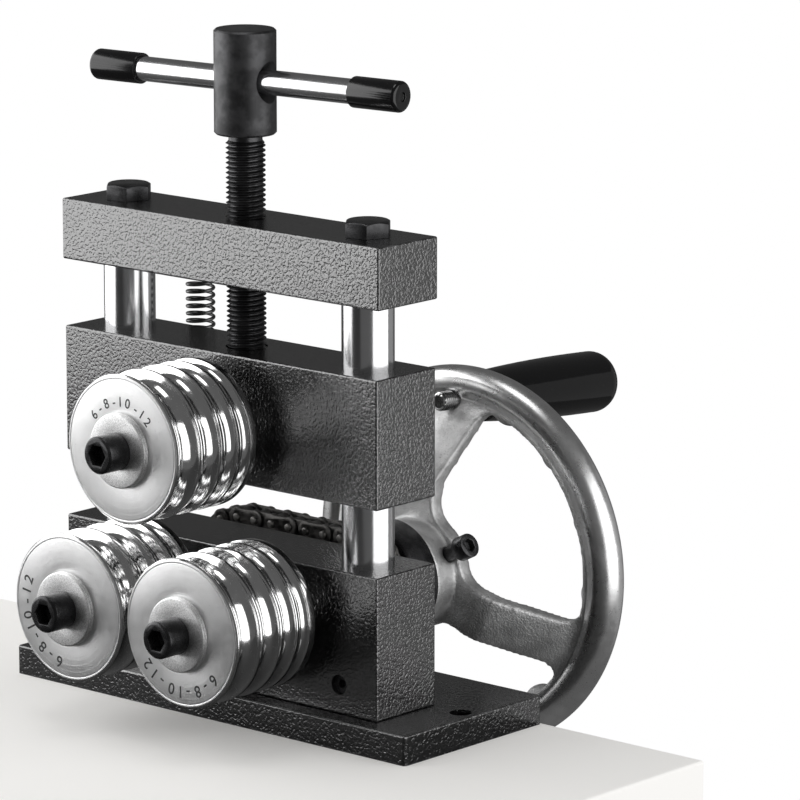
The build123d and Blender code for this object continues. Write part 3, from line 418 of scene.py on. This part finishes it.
def bearing_steel(name):
    f = Finish(name)
    lines = f.lines(f.y, 0.2, 2.0)
    haze = f.noise(4, 2.0)
    return f.done(f.mix(haze, 0.62, 0.74), 0.12 + 0.08 * haze, normal=f.bump(lines, 0.001 * MM))


def seal_rubber(name):
    f = Finish(name)
    fine = f.noise(0.6, 3.0)
    return f.done(f.mix(fine, 0.014, 0.030), 0.48 + 0.2 * fine, metallic=0.0, normal=f.bump(fine, 0.02 * MM))


def etched_mark(name):
    """Etched numbers: a rough dark grey that the steel shines through in specks."""
    f = Finish(name)
    fine = f.noise(0.25, 3.0)
    return f.done(f.mix(fine.rise(0.5, 0.75), 0.045, 0.16), 0.5 + 0.2 * fine, metallic=0.3,
                  normal=f.bump(fine, 0.01 * MM))


def dress(material, *names):
    """Gives CAD nodes their finish, shape unchanged."""
    for name in names:
        for slot in nodes[name].material_slots:
            slot.material = material


# ---------------------------------------------------------------- modelling
def deselect():
    if bpy.context.object and bpy.context.object.mode != "OBJECT":
        bpy.ops.object.mode_set(mode="OBJECT")
    bpy.ops.object.select_all(action="DESELECT")


def take(piece):
    """Only this piece is selected and active."""
    deselect()
    piece.select_set(True)
    bpy.context.view_layer.objects.active = piece


def edit(select="SELECT", kind="VERT"):
    bpy.ops.object.mode_set(mode="EDIT")
    bpy.ops.mesh.select_mode(type=kind)
    bpy.ops.mesh.select_all(action=select)


def leave():
    bpy.ops.object.mode_set(mode="OBJECT")


def clean(distance=0.002 * MM):
    """Merges doubles and turns the faces outwards, in edit mode."""
    bpy.ops.mesh.select_all(action="SELECT")
    bpy.ops.mesh.remove_doubles(threshold=distance)
    bpy.ops.mesh.normals_make_consistent(inside=False)


def modify(kind, **settings):
    """Adds a modifier to the active piece and applies it."""
    bpy.ops.object.modifier_add(type=kind)
    modifier = bpy.context.object.modifiers[-1]
    for key, value in settings.items():
        setattr(modifier, key, value)
    bpy.ops.object.modifier_apply(modifier=modifier.name)


def aim(point, way, side=(1, 0, 0)):
    """The matrix that puts the local Z axis on the line through point along way."""
    z = Vector(way).normalized()
    x = (Vector(side) - z * z.dot(Vector(side))).normalized()
    turn = Matrix((x, z.cross(x), z)).transposed()
    return Matrix.Translation(point) @ turn.to_4x4()


def put(piece, place):
    """Moves the piece's mesh to its place; its object stays at the origin."""
    take(piece)
    piece.matrix_world = place
    bpy.ops.object.transform_apply(location=True, rotation=True, scale=True)


def drawn(name, points):
    """A line of vertices in the XZ plane, extruded one after the other from a plane merged to a point."""
    deselect()
    bpy.ops.mesh.primitive_plane_add(size=MM, location=(0, 0, 0))
    piece = bpy.context.object
    piece.name = name
    edit()
    bpy.ops.mesh.merge(type="CENTER")
    start = Vector((points[0][0], 0, points[0][1]))
    bpy.ops.transform.translate(value=start)
    for (r0, z0), (r1, z1) in zip(points, points[1:]):
        bpy.ops.mesh.extrude_vertices_move(TRANSFORM_OT_translate={"value": (r1 - r0, 0, z1 - z0)})
    return piece


def turned(name, outline, steps=96, edge_break=0.0, place=None):
    """A solid of revolution about the local Z axis, from (radius, height) points."""
    piece = drawn(name, outline)
    bpy.ops.mesh.select_all(action="SELECT")
    bpy.ops.mesh.spin(steps=steps, angle=2 * pi, center=(0, 0, 0), axis=(0, 0, 1))
    clean()
    leave()
    if edge_break:
        modify("BEVEL", width=edge_break, segments=2, limit_method="ANGLE", angle_limit=radians(30))
    if place:
        put(piece, place)
    return piece


def threaded(name, crest, depth, pitch, low, high, steps):
    """A V thread about the local Z axis with flat ends at low and high."""
    turns = int((high - low) / pitch) + 3
    start = low - 1.5 * pitch
    root, shoulder = crest - depth, crest - 0.12 * depth
    # half section of one turn: radius, and share of the pitch
    profile = [(root, 0.0), (root, 0.10), (shoulder, 0.44), (crest, 0.47), (crest, 0.53), (shoulder, 0.56),
               (root, 0.90), (root, 1.0)]
    piece = drawn(name, [(r, start + share * pitch) for r, share in profile])
    leave()
    modify("SCREW", axis="Z", screw_offset=pitch, iterations=turns, steps=steps, render_steps=steps,
           use_merge_vertices=False)
    edit()
    clean()
    for height, way in ((low, -1), (high, 1)):
        bpy.ops.mesh.select_all(action="SELECT")
        bpy.ops.mesh.bisect(plane_co=(0, 0, height), plane_no=(0, 0, way), use_fill=True, clear_outer=True)
    clean()
    leave()
    return piece


def copied(name, *sources, flat=True):
    """A new piece from CAD nodes' meshes, with doubles merged and flat faces whole."""
    deselect()
    for source in sources:
        twin = bpy.data.objects.new(name, nodes[source].data.copy())
        bpy.context.scene.collection.objects.link(twin)
        twin.select_set(True)
        bpy.context.view_layer.objects.active = twin
    if len(sources) > 1:
        bpy.ops.object.join()
    piece = bpy.context.object
    piece.data.materials.clear()
    if piece.data.has_custom_normals:
        bpy.ops.mesh.customdata_custom_splitnormals_clear()
    edit()
    bpy.ops.mesh.remove_doubles(threshold=0.002 * MM)
    if flat:
        bpy.ops.mesh.dissolve_limited(angle_limit=radians(0.6))
    leave()
    return piece


def join(name, *pieces):
    deselect()
    for piece in pieces:
        piece.select_set(True)
    bpy.context.view_layer.objects.active = pieces[0]
    bpy.ops.object.join()
    pieces[0].name = name
    return pieces[0]


def finish(piece, body, slot, material, *replaced, smooth=32):
    """Shading, finish and place in the frame of a piece whose mesh is final."""
    take(piece)
    bpy.ops.object.shade_smooth_by_angle(angle=radians(smooth))
    piece.data.materials.clear()
    piece.data.materials.append(material)
    if body:
        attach(piece, body)
    if replaced:
        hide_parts(*replaced)
    return piece


def softened(source, width, body, slot, material, segments=2, angle=35, smooth=32):
    """A copy of a CAD node with its edges broken, in the node's place."""
    piece = copied(source + "_softened", source)
    take(piece)
    modify("BEVEL", width=width, segments=segments, limit_method="ANGLE", angle_limit=radians(angle),
           use_clamp_overlap=True)
    return finish(piece, body, slot, material, source, smooth=smooth)


# ---------------------------------------------------------------- pieces
class RINGROLLER_OT_blocks(bpy.types.Operator):
    """Paint the base plate, the lower block, the sliding block and the top bar"""
    bl_idname = "ring_roller.blocks"
    bl_label = "Painted blocks"

    def execute(self, context):
        for name in ("base_plate", "lower_block", "sliding_block", "top_bar"):
            dress(wrinkle_paint(name + "_paint", *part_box(name)), name)
        return {"FINISHED"}


class RINGROLLER_OT_posts(bpy.types.Operator):
    """Chrome the guide posts, and blacken and soften their hex bolts and the small screws"""
    bl_idname = "ring_roller.posts"
    bl_label = "Posts and bolts"

    def execute(self, context):
        dress(hard_chrome("post_chrome"), "guide_posts")
        oxide = black_oxide("screw_black")
        softened("post_bolts", 0.28 * MM, "frame", "black_oxide", oxide)
        softened("upper_spring_screws", 0.2 * MM, "frame", "black_oxide", oxide)
        softened("slider_spring_screws", 0.2 * MM, "slider", "black_oxide", oxide)
        softened("wheel_screw", 0.25 * MM, "drive", "black_oxide", oxide)
        softened("spacer_collar", 0.3 * MM, "drive", "black_oxide", oxide)
        dress(oxide, "base_screws", "post_grub_screws", "left_sprocket_screw", "drive_sprocket_screw")
        dress(bearing_steel("bearing_bright"), "lower_bearing_outer_rings", "lower_bearing_balls",
              "top_bearing_outer_rings", "top_bearing_balls", "top_bearing_inner_rings",
              "left_bearing_inner_rings", "drive_bearing_inner_rings", "thrust_pad")
        dress(seal_rubber("bearing_seal_black"), "lower_bearing_seals", "top_bearing_seals")
        dress(spring_wire("retaining_ring_steel"), "top_retaining_ring")
        return {"FINISHED"}


class RINGROLLER_OT_screw(bpy.types.Operator):
    """Cut the lead screw's thread and finish its boss"""
    bl_idname = "ring_roller.screw"
    bl_label = "Lead screw"

    def execute(self, context):
        settings = context.scene.ring_roller_threads
        low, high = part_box("lead_screw")
        boss_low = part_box("tee_boss")[0]
        crest = high.x - 0.02 * MM
        depth = THREAD_DEPTH * settings.screw_pitch
        neck_length, plain_foot, foot_chamfer = 3.2 * MM, 4 * MM, 0.6 * MM
        neck_end = boss_low.z - neck_length
        thread = threaded("lead_screw_thread", crest, depth, settings.screw_pitch, low.z + plain_foot, neck_end,
                          settings.steps)
        core = crest - depth + 0.03 * MM
        neck = turned("lead_screw_neck", [(0, low.z), (core - foot_chamfer, low.z), (core, low.z + foot_chamfer),
                                          (core, high.z), (0, high.z)], steps=settings.steps)
        # a short turned cone leads from the last thread to the neck
        cone_start, cone_end = neck_end - 0.4 * MM, neck_end + 0.7 * MM
        shoulder = turned("lead_screw_shoulder", [(0, cone_start), (crest - 0.35 * MM, cone_start),
                                                  (core, cone_end), (0, cone_end)], steps=settings.steps)
        screw = join("threaded_lead_screw", thread, neck, shoulder)
        finish(screw, "screw", "black_oxide", black_oxide("lead_screw_black", grain=0.22, roughness=0.30),
               "lead_screw", smooth=28)
        softened("tee_boss", 0.18 * MM, "screw", "black_oxide",
                 black_oxide("boss_black", grain=0.42, roughness=0.42, brightness=1.15))
        return {"FINISHED"}


class RINGROLLER_OT_tommy(bpy.types.Operator):
    """Polish the sliding tommy bar and gloss its end caps"""
    bl_idname = "ring_roller.tommy"
    bl_label = "Tommy bar"

    def execute(self, context):
        dress(hard_chrome("tommy_chrome", "x"), "tommy_bar")
        softened("tommy_caps", 0.25 * MM, "tommy", "gloss_black", gloss_black("cap_black", 0.14), segments=3)
        return {"FINISHED"}


def roller_profile(low, high):
    """Half section of a roller about its axis, as (radius, depth from the front face), inside its CAD box."""
    outer = (high.x - low.x) / 2
    length = high.y - low.y
    bore, chamfer = 8.5 * MM, 1.0 * MM
    first_land, land = 1.7 * MM, 1.4 * MM
    # a groove's arc radius and its depth, as shares of its width
    arc_share, depth_share = 0.5125, 0.4
    steps = bpy.context.scene.ring_roller_turning.arc_steps
    # the front face has a hairline groove just inside its edge
    hairline = [(outer - inset * MM, depth * MM)
                for inset, depth in ((2.0, 0), (1.9, 0.12), (1.75, 0.12), (1.65, 0))]
    outline = [(bore, length), (bore, 0), *hairline, (outer - chamfer, 0), (outer, chamfer)]
    y = first_land
    for width in (12 * MM, 10 * MM, 8 * MM, 6 * MM):
        arc = arc_share * width
        middle, height = y + width / 2, outer + arc - depth_share * width
        half = asin(width / 2 / arc)
        outline += [(height - arc * cos(angle), middle + arc * sin(angle))
                    for angle in (half * (2 * i / steps - 1) for i in range(steps + 1))]
        y += width + land
    outline += [(outer, length - chamfer), (outer - chamfer, length), (bore, length)]
    return outline


def washer_profile(outer, thick):
    """Half section of a washer with a hairline groove round its side."""
    hole, chamfer = 5.25 * MM, 0.5 * MM
    groove_floor = outer - 0.25 * MM
    return [(hole, thick), (hole, 0), (outer - chamfer, 0), (outer, chamfer), (outer, 1.3 * MM),
            (groove_floor, 1.4 * MM), (groove_floor, 1.7 * MM), (outer, 1.8 * MM), (outer, thick - chamfer),
            (outer - chamfer, thick), (hole, thick)]


class RINGROLLER_OT_rollers(bpy.types.Operator):
    """Turn the three grooved rollers and their washers, and soften the cap screws"""
    bl_idname = "ring_roller.rollers"
    bl_label = "Rollers"

    def execute(self, context):
        settings = context.scene.ring_roller_turning
        oxide = black_oxide("cap_screw_black", grain=0.5, roughness=0.27, brightness=0.8)
        for station, (x, z) in stations.items():
            body = station_body[station]
            low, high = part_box(station + "_roller")
            roller = turned(f"turned_{station}_roller", roller_profile(low, high), settings.steps,
                            settings.edge_break, aim((x, low.y, z), (0, 1, 0)))
            finish(roller, body, "bright_steel", turned_steel(station + "_roller_steel", station, low.y),
                   station + "_roller", smooth=26)
            low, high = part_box(station + "_roller_washer")
            washer = turned(f"turned_{station}_washer", washer_profile((high.x - low.x) / 2, high.y - low.y),
                            edge_break=0.12 * MM, place=aim((x, low.y, z), (0, 1, 0)))
            finish(washer, body, "zinc", zinc_plate(station + "_washer_zinc", station, low.y),
                   station + "_roller_washer")
            softened(station + "_cap_screw", 0.22 * MM, body, "black_oxide", oxide)
            dress(turned_steel(station + "_shaft_steel", station, -1.0, lines=0.002 * MM),
                  station + "_shaft", station + "_roller_key")
        return {"FINISHED"}


class RINGROLLER_OT_marks(bpy.types.Operator):
    """Etch each roller's face with the widths of its four grooves"""
    bl_idname = "ring_roller.marks"
    bl_label = "Groove numbers"

    def execute(self, context):
        settings = context.scene.ring_roller_turning
        ink = etched_mark("etched_number")
        # each character with its angle from the first one, clockwise, in degrees
        line = (("6", 0), ("-", 13), ("8", 25.5), ("-", 38.5), ("1", 49), ("0", 61), ("-", 75), ("1", 86),
                ("2", 98))
        # a font's size per height of its numbers, the ink's thickness and what it adds to each stroke's side
        font_share, ink_thickness, stroke = 1.38, 0.03 * MM, 0.04 * MM
        # the angle of the first number on each face, counted from the right, and the share of the size on it
        for station, first, share in (("top", 141, 0.82), ("left", -103, 1.0), ("drive", -42, 1.0)):
            x, z = stations[station]
            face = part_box(station + "_roller")[0].y
            letters = []
            for letter, step in line:
                angle = radians(first - step)
                deselect()
                bpy.ops.object.text_add()
                letter_piece = context.object
                letter_piece.data.body = letter
                letter_piece.data.size = settings.mark_height * font_share * share
                letter_piece.data.extrude = ink_thickness
                letter_piece.data.offset = stroke
                letter_piece.data.align_x = "CENTER"
                bpy.ops.object.convert(target="MESH")
                out = Vector((cos(angle), 0, sin(angle)))
                foot = out * settings.mark_radius * share
                right = Vector((sin(angle), 0, -cos(angle)))
                turn = Matrix((right, out, right.cross(out))).transposed().to_4x4()
                put(letter_piece, Matrix.Translation(Vector((x, face - 0.02 * MM, z)) + foot) @ turn)
                letters.append(letter_piece)
            marks = join(station + "_groove_numbers", *letters)
            finish(marks, station_body[station], "black_oxide", ink)
        return {"FINISHED"}


class RINGROLLER_OT_chain(bpy.types.Operator):
    """Soften the chain's plates, dome its pins, and finish the sprockets"""
    bl_idname = "ring_roller.chain"
    bl_label = "Chain and sprockets"

    def execute(self, context):
        plates = chain_steel("chain_plate_steel")
        softened("chain_outer_plates", 0.22 * MM, "frame", "chain_steel", plates)
        softened("chain_inner_plates", 0.22 * MM, "frame", "chain_steel", plates)
        softened("chain_pins", 0.55 * MM, "frame", "chain_steel", chain_steel("chain_pin_steel", 2.2), segments=3)
        softened("left_sprocket", 0.15 * MM, "left_rolls", "chain_steel", plates)
        softened("drive_sprocket", 0.15 * MM, "drive", "chain_steel", plates)
        dress(plates, "chain_rollers")
        return {"FINISHED"}


class RINGROLLER_OT_springs(bpy.types.Operator):
    """Copy the two return springs in place and give them their wire finish"""
    bl_idname = "ring_roller.springs"
    bl_label = "Return springs"

    def execute(self, context):
        wire = spring_wire("spring_wire_steel")
        for side in ("left", "right"):
            node = "return_spring_" + side
            spring = copied("hooked_spring_" + side, node, flat=False)
            finish(spring, None, "spring_steel", wire, node, smooth=60)
            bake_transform(spring)
        return {"FINISHED"}


class RINGROLLER_OT_wheel(bpy.types.Operator):
    """Cast the handwheel in one skin with rounded corners"""
    bl_idname = "ring_roller.wheel"
    bl_label = "Handwheel"

    def execute(self, context):
        settings = context.scene.ring_roller_casting
        wheel = copied("cast_handwheel", "handwheel", flat=False)
        take(wheel)
        modify("REMESH", mode="VOXEL", voxel_size=settings.voxel, adaptivity=0.0)
        modify("SMOOTH", factor=0.5, iterations=settings.smoothing)
        finish(wheel, "drive", "nickel_casting", nickel_casting("wheel_nickel"), "handwheel", smooth=50)
        return {"FINISHED"}


class RINGROLLER_OT_grip(bpy.types.Operator):
    """Thread the grip's stud and lacquer the turning grip"""
    bl_idname = "ring_roller.grip"
    bl_label = "Hand grip"

    def execute(self, context):
        settings = context.scene.ring_roller_threads
        joint = joints["grip_spin"]
        place = aim(joint["pos_m"], joint["axis"])
        crest, pitch = 3.97 * MM, settings.stud_pitch
        depth = THREAD_DEPTH * pitch
        # places along the stud's line, from the arm's boss: both ends, the collar's back and the head's front
        front_end, collar_start, collar_end, head_start, back_end = (
            place_mm * MM for place_mm in (-11, 12, 15, 79.5, 82.5))
        collar, spindle_radius, head, chamfer = 7 * MM, 4.5 * MM, 6 * MM, 0.5 * MM
        thread = threaded("stud_thread", crest, depth, pitch, -10.4 * MM, 11.9 * MM, 40)
        core = crest - depth + 0.02 * MM
        front = turned("stud_front", [(0, front_end), (core - chamfer, front_end), (core, front_end + chamfer),
                                      (core, collar_start), (0, collar_start)], steps=40)
        spindle = turned("stud_spindle", [(0, collar_start), (collar, collar_start), (collar, collar_end),
                                          (spindle_radius, collar_end), (spindle_radius, head_start),
                                          (head, head_start), (head, back_end), (0, back_end)],
                         steps=64, edge_break=0.2 * MM)
        stud = join("threaded_grip_stud", thread, front, spindle)
        put(stud, place)
        finish(stud, "drive", "bright_steel", bearing_steel("stud_bright"), "handle_stud", smooth=28)
        dress(gloss_black("grip_black", 0.07), "hand_grip")
        return {"FINISHED"}


class RINGROLLER_OT_stage(bpy.types.Operator):
    """Set out the bench, the backdrop, the lamps and the camera"""
    bl_idname = "ring_roller.stage"
    bl_label = "Stage"

    def execute(self, context):
        settings = context.scene.ring_roller_stage
        scene = context.scene
        # bench top, whose back edge lies just behind the base plate, so that the wheel hangs past it
        deselect()
        right, back, left, front, thick, gap = 0.189, 0.0585, -1.6, -1.9, 0.026, 0.02 * MM
        bpy.ops.mesh.primitive_cube_add(size=1, scale=(right - left, back - front, thick),
                                        location=((left + right) / 2, (front + back) / 2, -thick / 2 - gap))
        bench = context.object
        bench.name = "bench_top"
        bpy.ops.object.transform_apply(location=True, rotation=True, scale=True)
        modify("BEVEL", width=1.2 * MM, segments=3)
        f = Finish("bench_pale")
        fine = f.noise(1.6, 4.0)
        cloud = f.noise(90, 3.0)
        seen = f.add("ShaderNodeLightPath", out="Is Camera Ray")
        tone = f.mix(0.5 * fine + 0.5 * cloud, scaled(colours().bench, 0.96), colours().bench)
        body = f.add("ShaderNodeBsdfPrincipled", sockets={"Base Color": tone, "Roughness": 0.55 + 0.1 * fine})
        lift = f.add("ShaderNodeEmission", sockets={"Color": grey(colours().bench), "Strength": 0.22})
        lifted = f.add("ShaderNodeAddShader", sockets={0: body, 1: lift})
        dark = f.add("ShaderNodeBsdfPrincipled", sockets={"Base Color": grey(0.03), "Roughness": 0.7})
        f.add_output(f.add("ShaderNodeMixShader", sockets={0: seen, 1: dark, 2: lifted}))
        bench.data.materials.append(f.material)

        # world: white to the camera, a dim studio to the metal, an even grey to the rest
        world = bpy.data.worlds.new("studio")
        scene.world = world
        world.use_nodes = True
        tree = world.node_tree
        tree.nodes.clear()
        path = tree.nodes.new("ShaderNodeLightPath")
        plain = tree.nodes.new("ShaderNodeBackground")
        plain.inputs["Color"].default_value = grey(0.42)
        dim = tree.nodes.new("ShaderNodeBackground")
        dim.inputs["Color"].default_value = grey(0.10)
        white = tree.nodes.new("ShaderNodeBackground")
        white.inputs["Color"].default_value = grey(1.0)
        first = tree.nodes.new("ShaderNodeMixShader")
        second = tree.nodes.new("ShaderNodeMixShader")
        output = tree.nodes.new("ShaderNodeOutputWorld")
        for a, b in ((path.outputs["Is Glossy Ray"], first.inputs[0]), (plain.outputs[0], first.inputs[1]),
                     (dim.outputs[0], first.inputs[2]), (path.outputs["Is Camera Ray"], second.inputs[0]),
                     (first.outputs[0], second.inputs[1]), (white.outputs[0], second.inputs[2]),
                     (second.outputs[0], output.inputs["Surface"])):
            tree.links.new(a, b)

        # upright panels round the object, and one overhead: level, place and size
        for name, level, spot, size in (
                ("front_left_panel", settings.key, (-0.588, -0.300, 0.455), (0.95, 0.90)),
                ("right_panel", settings.side, (0.90, 0.11, 0.30), (1.15, 1.0)),
                ("back_right_panel", settings.back, (0.45, 0.80, 0.0), (0.8, 0.8)),
                ("overhead_panel", settings.top, (-0.1, -0.15, 1.25), (0.45, 0.45))):
            lamp = bpy.data.lights.new(name, "AREA")
            lamp.shape = "RECTANGLE"
            lamp.size, lamp.size_y = size
            lamp.energy = level * pi * size[0] * size[1]
            stand = bpy.data.objects.new(name, lamp)
            scene.collection.objects.link(stand)
            stand.location = spot
            away = Vector((0, 0, 1)) if spot[2] > 1 else Vector((spot[0], spot[1], 0))
            stand.rotation_euler = away.to_track_quat("Z", "Y").to_euler()
            stand.visible_camera = False

        camera = bpy.data.objects.new("camera", bpy.data.cameras.new("camera"))
        scene.collection.objects.link(camera)
        camera.data.lens = settings.lens
        camera.data.sensor_width = 36
        aim_point = Vector(settings.aim)
        back_way = Vector((sin(settings.azimuth) * cos(settings.elevation),
                           -cos(settings.azimuth) * cos(settings.elevation), sin(settings.elevation)))
        camera.location = aim_point + back_way * settings.distance
        camera.rotation_euler = (-back_way).to_track_quat("-Z", "Y").to_euler()
        scene.camera = camera
        scene.view_settings.view_transform = "Standard"
        return {"FINISHED"}


class RINGROLLER_PT_sidebar(bpy.types.Panel):
    """The ring roller's settings and the steps that build it"""
    bl_idname = "RINGROLLER_PT_sidebar"
    bl_label = "Ring roller"
    bl_space_type = "VIEW_3D"
    bl_region_type = "UI"
    bl_category = "Ring roller"

    def draw(self, context):
        for step in steps:
            self.layout.operator(step.bl_idname)
        for key, group in groups.items():
            box = self.layout.box()
            box.label(text=group.__doc__)
            for name in group.__annotations__:
                box.prop(getattr(context.scene, key), name)


groups = {
    "ring_roller_turning": TurningSettings,
    "ring_roller_threads": ThreadSettings,
    "ring_roller_casting": CastingSettings,
    "ring_roller_colours": ColourSettings,
    "ring_roller_stage": StageSettings,
}
steps = (RINGROLLER_OT_blocks, RINGROLLER_OT_posts, RINGROLLER_OT_screw, RINGROLLER_OT_tommy,
         RINGROLLER_OT_rollers, RINGROLLER_OT_marks, RINGROLLER_OT_chain, RINGROLLER_OT_springs,
         RINGROLLER_OT_wheel, RINGROLLER_OT_grip, RINGROLLER_OT_stage)


def register():
    for group in groups.values():
        bpy.utils.register_class(group)
    for step in (*steps, RINGROLLER_PT_sidebar):
        bpy.utils.register_class(step)
    for key, group in groups.items():
        setattr(bpy.types.Scene, key, PointerProperty(type=group))


def unregister():
    for key in groups:
        delattr(bpy.types.Scene, key)
    for kind in (RINGROLLER_PT_sidebar, *reversed(steps), *reversed(list(groups.values()))):
        bpy.utils.unregister_class(kind)


def main():
    register()
    for step in steps:
        family, name = step.bl_idname.split(".")
        getattr(getattr(bpy.ops, family), name)()


if __name__ == "__main__":
    main()
